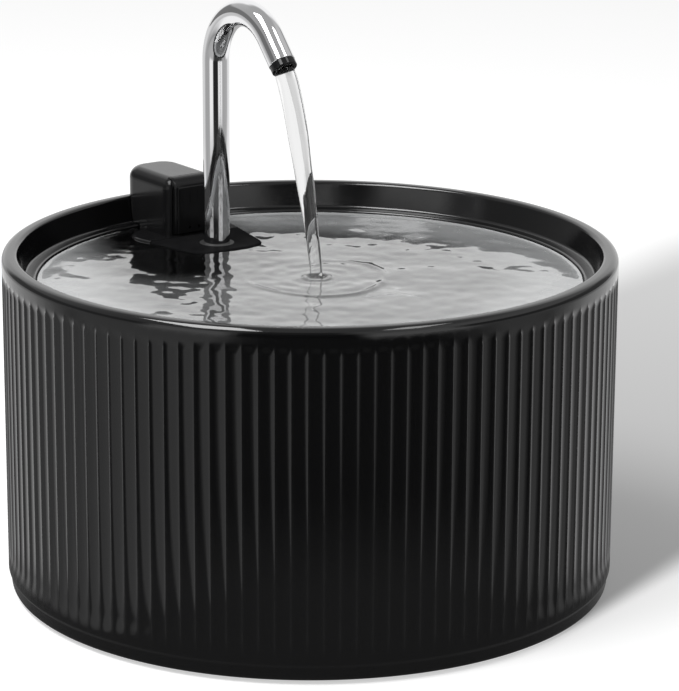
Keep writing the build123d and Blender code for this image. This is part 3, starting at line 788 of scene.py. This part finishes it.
@dataclass(frozen=True)
class PouredStream:
    """The stream from the nozzle to the water, thinner as it falls.

    Radii go by the share of the way down. The flare is given as height and share of the way, and the
    sway of the thickness as swing, pace and phase. Each fold goes so many times round the stream.
    """

    around: int = 40
    steps: int = 90
    radii: Pairs = (
        (0.0, 3.05), (0.035, 3.1), (0.06, 3.65), (0.22, 3.65), (0.36, 3.55),
        (0.5, 3.15), (0.64, 2.85), (0.78, 2.2), (0.9, 2.05), (1.0, 2.0),
    )
    line: tuple[Triple, ...] = (
        (0.0, 17.4, 180.1), (0.0, 15.3, 177.6), (0.1, 12.3, 171.0), (0.3, 9.3, 162.4), (0.6, 5.7, 146.5),
        (0.9, 2.2, 131.6), (1.2, -0.4, 117.0), (1.4, -1.8, 108.4), (1.4, -2.0, 105.2),
    )
    smoothing: int = 60
    flare: Pair = (1.5, 0.02)
    sway: Triple = (0.09, 23.0, 0.8)
    folds: tuple[int, ...] = (2, 3, 5, 7)
    fold_depth: float = 0.055
    twist_span: Pair = (-6.0, 6.0)
    seed: int = 11

    def centres(self) -> Array:
        """Return evenly spread points on a smooth curve through the line."""
        points = np.array(self.line)
        length = np.concatenate([[0.0], np.cumsum(np.linalg.norm(np.diff(points, axis=0), axis=1))])
        at = np.linspace(0.0, length[-1], self.steps + 1)
        smooth = np.stack([np.interp(at, length, points[:, k]) for k in range(3)], axis=1)
        for _ in range(self.smoothing):
            smooth[1:-1] = 0.5 * smooth[1:-1] + 0.25 * (smooth[:-2] + smooth[2:])
        return smooth

    def thickness(self, share: Array) -> Array:
        """Return the radius at each share of the way down."""
        fall = np.interp(share, *zip(*self.radii))
        fall[2:-2] = (fall[:-4] + fall[1:-3] + fall[2:-2] + fall[3:-1] + fall[4:]) / 5.0
        swing, pace, phase = self.sway
        flare = self.flare[0] * np.exp(-((1.0 - share) / self.flare[1]))
        return fall + flare + swing * np.sin(share * pace + phase) * share

    def build(self, water: Material) -> Piece:
        """Return the stream with soft flutes along it and a flared foot."""
        centres = self.centres()
        along = np.gradient(centres, axis=0)
        along /= np.linalg.norm(along, axis=1)[:, None]
        share = np.linspace(0.0, 1.0, self.steps + 1)
        angle = once_round(self.around)
        rng = np.random.default_rng(self.seed)
        low, span = self.twist_span[0], np.ptp(self.twist_span)
        folds = [(n, rng.random() * FULL_TURN, rng.random() * span + low) for n in self.folds]
        rows = []
        for centre, way, radius, s in zip(centres, along, self.thickness(share), share):
            shape = np.ones(self.around)
            for n, phase, twist in folds:
                shape += self.fold_depth / n ** 0.5 * s ** 0.5 * np.cos(n * angle + phase + twist * s)
            rows.append(ring_round(centre, way, radius, shape))
        count = len(rows) * self.around
        faces = ring_faces(len(rows), self.around) + fan(count, 0, self.around, onward=False)
        faces += fan(count + 1, count - self.around, self.around, onward=True)
        points = np.concatenate([*rows, centres[:1], centres[-1:]])
        stream = make_object("water_stream", points, faces, sharp=70.0)
        stream.data.materials.append(water)
        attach(stream, "faucet")
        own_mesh(stream)
        return stream


class PumpTower:
    """The lift-out tower, riser, pump and filter, which keep their CAD meshes."""

    plastics = (
        MouldedBlack("gloss_black", (0.07, 0.13), 0.0015, 0.3),
        MouldedBlack("black_plastic", (0.16, 0.2), 0.0012, 0.25),
    )
    wet_node = "tower_lid"
    wet_plastic = MouldedBlack("wet_black", (0.1, 0.16), 0.0015, 0.0005)

    def __init__(self) -> None:
        """Build one material for each slot and one for the wet lid."""
        self.materials = {slot: finish.build(slot) for slot, finish in FINISHES.items()}
        self.materials.update({plastic.name: plastic.build() for plastic in self.plastics})
        self.wet = self.wet_plastic.build()

    def dress_nodes(self) -> list[str]:
        """Dress every node whose slot has a material here and return their names."""
        dressed = []
        for part in frame["record"]["subparts"]:
            node, material = part["node"], self.materials.get(part["material_slot"])
            if material is not None:
                slots = frame["nodes"][node].data.materials
                slots.clear()
                slots.append(self.wet if node == self.wet_node else material)
                dressed.append(node)
        return dressed


class Cut(Enum):
    """How the surface of a soft block looks."""

    CELLS = "cells"
    STITCHED = "stitched"


@dataclass(frozen=True)
class SoftBlock:
    """A soft block cut to the size of the CAD node that it stands for.

    Attributes:
        step: Size of the mesh's squares, in millimetres.
        edge: Rounding of the block's edges.
        depth: How far the surface dips inward.
        grain: Size of the cells, or distance between the seams.
        crowding: Number of cells for each square of that size.
    """

    node: str
    name: str
    cut: Cut
    step: float
    edge: float
    depth: float
    grain: float
    fill: float
    seed: int = 3
    seam_width: float = 0.6
    crowding: float = 2.4
    cell_radius: float = 0.55

    def shell(self, low: Array, size: Array) -> tuple[Array, list]:
        """Return the points and the outward squares of a box, from its lowest corner and its size."""
        counts = np.maximum(2, np.round(size / self.step).astype(int))
        numbers: dict[tuple, int] = {}
        faces = []
        for axis, end in ((axis, end) for axis in range(3) for end in (0, int(counts[axis]))):
            u, v = (axis + 1) % 3, (axis + 2) % 3
            for i, j in np.ndindex(counts[u], counts[v]):
                face = []
                for di, dj in ((0, 0), (1, 0), (1, 1), (0, 1)):
                    key = [end] * 3
                    key[u], key[v] = i + di, j + dj
                    face.append(numbers.setdefault(tuple(key), len(numbers)))
                faces.append(tuple(face if end else reversed(face)))
        return low + np.array(list(numbers)) / counts * size, faces

    def dips(self, points: Array, low: Array, size: Array) -> Array:
        """Return how far each point dips, as a share of the depth."""
        if self.cut is Cut.STITCHED:
            seams = [np.abs(((points[:, k] - low[k]) / self.grain + 0.5) % 1.0 - 0.5) for k in (0, 2)]
            return bell(np.minimum(*seams) * self.grain, 0.0, self.seam_width)
        rng = np.random.default_rng(self.seed)
        area = size[0] * size[2] * 2 + size[1] * (size[0] + size[2]) * 2
        count = int(self.crowding * area / self.grain ** 2)
        cells = low + rng.random((count, 3)) * size
        side = rng.integers(0, 2, count) * size[1]
        # Three in four cells open on one of the two broad sides.
        cells[: count * 3 // 4, 1] = (low[1] + side)[: count * 3 // 4]
        nearest = np.full(len(points), np.inf)
        for cell in cells:
            nearest = np.minimum(nearest, ((points - cell) ** 2).sum(axis=1))
        return 1.0 - smooth_step(np.sqrt(nearest) / (self.cell_radius * self.grain))

    def build(self, material: Material, slot: str) -> Piece:
        """Return the block, riding on the pull-off intake, dressed in the given material."""
        node = frame["nodes"][self.node]
        corners = [node.matrix_world @ Vector(corner) for corner in node.bound_box]
        low, high = (np.array([pick(c[k] for c in corners) for k in range(3)]) / MM for pick in (min, max))
        points, faces = self.shell(low, high - low)
        inner = np.clip(points, low + self.edge, high - self.edge)
        way = points - inner
        way /= np.maximum(np.linalg.norm(way, axis=1), self.edge * 1e-6)[:, None]
        reach = self.edge - self.depth * self.dips(points, low, high - low)
        block = make_object(self.name, inner + way * reach[:, None], faces, sharp=80.0)
        block.data.materials.append(material)
        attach(block, "intake")
        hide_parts(self.node)
        return block


def swing(first: Vector, second: Vector, degrees: float) -> tuple[Vector, Vector]:
    """Turn two square axes in their plane, the first one towards the second."""
    cos, sin = math.cos(math.radians(degrees)), math.sin(math.radians(degrees))
    return first * cos + second * sin, second * cos - first * sin


@dataclass(frozen=True)
class Lamp:
    """A soft rectangular lamp, placed in millimetres with the camera on the -Y side, power in watts."""

    name: str
    place: Triple
    size: Pair
    power: float


@dataclass(frozen=True)
class Studio:
    """Pale floor, soft lamps, a world and the camera, all turned to face the camera's side.

    Greys go by degrees to the right of the front: on the floor near and far, and in the room low down
    and higher up. The near way round starts to either side and to the front of the basin's middle.
    """

    elevation: float = 14.116
    distance: float = 1085.449
    target: float = 118.6
    pan: float = 0.53
    tilt: float = 1.779
    roll: float = 0.167
    lens: float = 165.6
    sensor: float = 36.0
    clip_end: float = 100.0
    lamps: tuple[Lamp, ...] = (
        Lamp("key_lamp", (-546.0, -322.0, 1246.0), (500.0, 900.0), 12.7),
        Lamp("fill_lamp", (546.0, -322.0, 1246.0), (250.0, 600.0), 1.9),
    )
    lamp_aim: Triple = (0.0, 0.0, 90.0)
    floor_size: float = 9000.0
    floor_span: Pair = (520.0, 760.0)
    near_start: Pair = (85.0, 45.0)
    foot_reach: Pair = (190.0, 330.0)
    foot_grey: float = 0.13
    # A painted contact shadow by the foot, in the floor as shiny pieces see it.
    contact_shadow_reach: Pair = (117.0, 141.0)
    contact_shadow_share: float = 0.15
    overhead: float = 0.4
    low_edge: Pair = (0.32, 0.42)
    room_edge: Pair = (0.7, 0.86)
    near_greys: Pairs = (
        (-180, 0.45), (-172, 0.6), (-163, 1.0), (-122, 1.0), (-112, 0.7), (-102, 0.45), (-94, 0.3),
        (-86, 0.42), (-60, 0.46), (-25, 0.48), (-14, 0.12), (-5, 0.04), (35, 0.04), (55, 0.2), (70, 0.42),
        (86, 0.38), (94, 0.3), (102, 0.45), (112, 0.7), (122, 1.0), (163, 1.0), (172, 0.6), (180, 0.45),
    )
    far_greys: Pairs = (
        (-180, 0.62), (-150, 0.7), (-120, 0.75), (-100, 0.4), (-62, 0.4), (-56, 0.95), (-30, 0.95),
        (-24, 0.02), (16, 0.02), (22, 0.95), (54, 0.95), (62, 0.4), (110, 0.45), (125, 0.8), (180, 0.9),
    )
    low_greys: Pairs = (
        (-180, 1.0), (-152, 1.0), (-142, 0.2), (-64, 0.16), (-56, 0.9), (-32, 0.9), (-24, 0.03),
        (16, 0.03), (24, 0.9), (50, 0.9), (60, 0.16), (142, 0.2), (152, 1.0), (180, 1.0),
    )
    room_greys: Pairs = (
        (-180, 1.0), (-152, 1.0), (-138, 0.5), (-100, 0.4), (-60, 0.36), (-30, 0.4), (-18, 0.1),
        (10, 0.1), (22, 0.6), (60, 0.75), (100, 0.6), (138, 0.5), (152, 1.0), (180, 1.0),
    )
    # A painted shadow on the floor behind the basin: its way, sides, softness, start, reach and depth.
    shade_way: Pair = (0.55, 0.835)
    shade_sides: Pair = (112.0, 103.0)
    shade_soft: Pair = (3.0, 44.0)
    shade_begin: Pair = (-20.0, 20.0)
    shade_near: float = 30.0
    shade_reach: Pair = (470.0, 640.0)
    shade_depth: Pair = (0.64, 0.42)
    world_light: float = 0.3
    floor_glow: float = 0.56
    floor_tone: float = 0.8
    paper_span: Pair = (0.79, 0.8)

    def turned(self, x: float, y: float, z: float) -> Vector:
        """Return a point given with the camera on the -Y side, in metres."""
        return Matrix.Rotation(CAMERA_TURN, 3, "Z") @ Vector((x, y, z)) * MM

    def camera(self) -> None:
        """Place the camera that the scene renders from."""
        e = math.radians(self.elevation)
        spot = (0.0, -self.distance * math.cos(e), self.target + self.distance * math.sin(e))
        right, ahead = Vector((1.0, 0.0, 0.0)), Vector((0.0, math.cos(e), -math.sin(e)))
        up = Vector((0.0, math.sin(e), math.cos(e)))
        ahead, right = swing(ahead, right, self.pan)
        ahead, up = swing(ahead, up, -self.tilt)
        right, up = swing(right, up, self.roll)
        turn = Matrix.Rotation(CAMERA_TURN, 3, "Z")
        axes = Matrix((turn @ right, turn @ up, turn @ -ahead)).transposed().to_4x4()
        data = bpy.data.cameras.new("camera")
        data.lens = self.lens
        data.sensor_width = self.sensor
        data.clip_end = self.clip_end
        camera = add_object("camera", data)
        camera.matrix_world = Matrix.Translation(self.turned(*spot)) @ axes
        bpy.context.scene.camera = camera

    def along(self, graph: Graph, vector: Socket, right: float, back: float) -> Socket:
        """Return how far a vector reaches along a level way, given with the camera on the -Y side."""
        way = tuple(self.turned(right, back, 0.0) / MM)
        return graph.node("VectorMath", {0: vector, 1: way}, operation="DOT_PRODUCT").outputs["Value"]

    def around(self, graph: Graph, vector: Socket, greys: Pairs, start: Pair = (0.0, 0.0)) -> Socket:
        """Return a grey that depends on the way round from the front of the stage."""
        side, front = metres(start)
        ahead = graph.math("SUBTRACT", self.along(graph, vector, 0.0, -1.0), front)
        aside = self.along(graph, vector, 1.0, 0.0)
        size = graph.math("MAXIMUM", graph.math("SUBTRACT", graph.math("ABSOLUTE", aside), side), 0.0)
        turn = graph.math("MULTIPLY", graph.math("ARCTAN2", size, ahead), graph.math("SIGN", aside))
        turn = graph.math("ADD", graph.math("DIVIDE", turn, FULL_TURN), 0.5)
        return graph.ramp(turn, [(angle / 360.0 + 0.5, (grey,) * 3) for angle, grey in greys])

    def room(self, graph: Graph, vector: Socket) -> Socket:
        """Return the room above the floor: pale behind, with a dark gap in front, grey overhead."""
        height = graph.node("SeparateXYZ", {0: vector}).outputs["Z"]
        low, high = (self.around(graph, vector, greys) for greys in (self.low_greys, self.room_greys))
        room = graph.mix(graph.ease(height, self.low_edge), low, high)
        return graph.mix(graph.ease(height, self.room_edge), room, (self.overhead,) * 3)

    def ground(self, graph: Graph, place: Socket) -> Socket:
        """Return the floor as shiny pieces see it, near the basin and farther out, with a painted contact
        shadow by the foot.
        """
        reach = graph.length(place)
        near = self.around(graph, place, self.near_greys, self.near_start)
        foot = graph.spread(reach, metres(self.foot_reach), (self.foot_grey, 0.0))
        # Painted contact shadow: the floor that shiny pieces see darkens close to the foot.
        contact_shadow = graph.ease(reach, metres(self.contact_shadow_reach), (self.contact_shadow_share, 1.0))
        near = graph.math("MAXIMUM", graph.math("MULTIPLY", near, contact_shadow), foot)
        far = self.around(graph, place, self.far_greys)
        return graph.mix(graph.ease(reach, metres(self.floor_span)), near, far)

    def shade(self, graph: Graph, place: Socket) -> Socket:
        """Return the share of the floor's tone and glow that a painted shadow takes away, long and soft,
        behind the basin.
        """
        right, back = self.shade_way
        away = self.along(graph, place, right, back)
        across = self.along(graph, place, back, -right)
        left_side, right_side = metres(self.shade_sides)
        begin, end = metres(self.shade_reach)
        soft = graph.spread(away, (0.0, end), metres(self.shade_soft))
        inside = graph.math("SUBTRACT", right_side, across)
        inside = graph.math("MINIMUM", inside, graph.math("ADD", left_side, across))
        share = graph.ease(graph.math("DIVIDE", inside, soft), (-1.0, 1.0))
        ending = graph.ease(away, (begin, end), (1.0, 0.0))
        starting = graph.ease(away, metres(self.shade_begin))
        depth = graph.spread(away, (self.shade_near * MM, begin), self.shade_depth)
        share = graph.math("MULTIPLY", share, ending)
        return graph.math("MULTIPLY", share, graph.math("MULTIPLY", starting, depth))

    def world(self) -> None:
        """Make the world: white to the camera and through glass, the room's glow in reflections."""
        world = bpy.data.worlds.new("studio")
        bpy.context.scene.world = world
        graph = Graph(world)
        path = graph.node("LightPath").outputs
        way = graph.node("TexCoord").outputs["Generated"]
        seen = graph.math("MAXIMUM", path["Is Camera Ray"], path["Is Transmission Ray"])
        colour = graph.mix(path["Is Glossy Ray"], (self.world_light,) * 3, self.room(graph, way))
        background = graph.node("Background", {"Color": graph.mix(seen, colour, WHITE), "Strength": 1.0})
        graph.node("OutputWorld", {"Surface": background.outputs[0]})

    def floor(self) -> None:
        """Make the pale floor, which keeps the object's shadow and carries a painted shadow behind the
        basin.
        """
        corners = self.floor_size / 2 * np.array([-1 - 1j, 1 - 1j, 1 + 1j, -1 + 1j])
        floor = make_object("floor", points_at(corners, np.zeros(4)), [(0, 1, 2, 3)])
        graph = new_material("pale_floor")
        path = graph.node("LightPath").outputs
        own = graph.place()
        dark, light = self.paper_span
        paper = graph.tones(graph.noise(grain=30.0, detail=3.0), (dark,) * 3, (light,) * 3)
        # Painted shadow: the floor's tone and glow are darkened by this share.
        shade = self.shade(graph, own)
        tone, glow = (graph.mix(shade, (grey,) * 3, BLACK) for grey in (self.floor_tone, self.floor_glow))
        paper = graph.node("BsdfDiffuse", {"Color": paper})
        shaded = graph.node("BsdfDiffuse", {"Color": tone})
        lift = graph.node("Emission", {"Color": glow, "Strength": 1.0})
        shown = graph.node("AddShader", {0: shaded.outputs[0], 1: lift.outputs[0]})
        mirrored = graph.node("Emission", {"Color": self.ground(graph, own), "Strength": 1.0})
        seen = graph.math("MAXIMUM", path["Is Camera Ray"], path["Is Transmission Ray"])
        mixed = graph.node("MixShader", {0: seen, 1: paper.outputs[0], 2: shown.outputs[0]})
        inputs = {0: path["Is Glossy Ray"], 1: mixed.outputs[0], 2: mirrored.outputs[0]}
        graph.node("OutputMaterial", {"Surface": graph.node("MixShader", inputs).outputs[0]})
        floor.data.materials.append(graph.owner)

    def hang(self, lamp: Lamp) -> None:
        """Hang a lamp so that it faces the basin."""
        data = bpy.data.lights.new(lamp.name, "AREA")
        data.shape = "RECTANGLE"
        data.size, data.size_y = metres(lamp.size)
        data.energy = lamp.power
        made = add_object(lamp.name, data)
        made.visible_camera = False
        spot = self.turned(*lamp.place)
        back = (spot - self.turned(*self.lamp_aim)).normalized()
        right = self.turned(1.0, 0.0, 0.0).normalized()
        right = (right - back * right.dot(back)).normalized()
        axes = Matrix((right, back.cross(right), back)).transposed().to_4x4()
        made.matrix_world = Matrix.Translation(spot) @ axes

    def build(self) -> None:
        """Set up the whole studio."""
        self.camera()
        self.world()
        self.floor()
        for lamp in self.lamps:
            self.hang(lamp)
        bpy.context.scene.view_settings.view_transform = "Standard"


STILL_WATER = ClearWater(
    "still_water", tint=(0.93, 0.95, 0.96), ripple=0.004, stretch=WHITE, grain=3.0, milk=(0.0, 0.4),
    shine=0.5, chop=(0.1, 0.17), coat=0.85,
)
# The falling water's grazing edges carry a painted shade, at 0.4 of its tint.
FALLING_WATER = ClearWater(
    "falling_water", tint=WHITE, ripple=0.05, stretch=(1.0, 1.0, 0.12), grain=1.6, milk=(0.0, 0.0),
    shine=0.3, rim=0.4,
)
FOAM = SoftBlock(
    "foam_sponge", "foam_cells", Cut.CELLS, step=0.4, edge=0.35, depth=0.3, grain=1.1, fill=1.0
)
PAD = SoftBlock(
    "filter_pad", "carbon_pad_quilted", Cut.STITCHED, step=0.4, edge=0.45, depth=0.3, grain=8.4, fill=0.8
)


def main() -> None:
    """Build the classes in order and report each piece."""
    logging.basicConfig(level=logging.INFO, format="%(name)s: %(message)s")
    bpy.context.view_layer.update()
    Studio().build()
    tower = PumpTower()
    LOG.info("dressed %d carried-over nodes", len(tower.dress_nodes()))
    pieces = [
        ReededBasin().build(BlackGlaze().build()),
        Gooseneck().build(PolishedSteel().build()),
        FOAM.build(tower.materials["foam"], "foam"),
        PAD.build(tower.materials["carbon_pad"], "carbon_pad"),
        WaterSurface().build(STILL_WATER.build()),
        PouredStream().build(FALLING_WATER.build()),
    ]
    for piece in pieces:
        LOG.info("%s has %d faces", piece.name, len(piece.data.polygons))


if __name__ == "__main__":
    main()
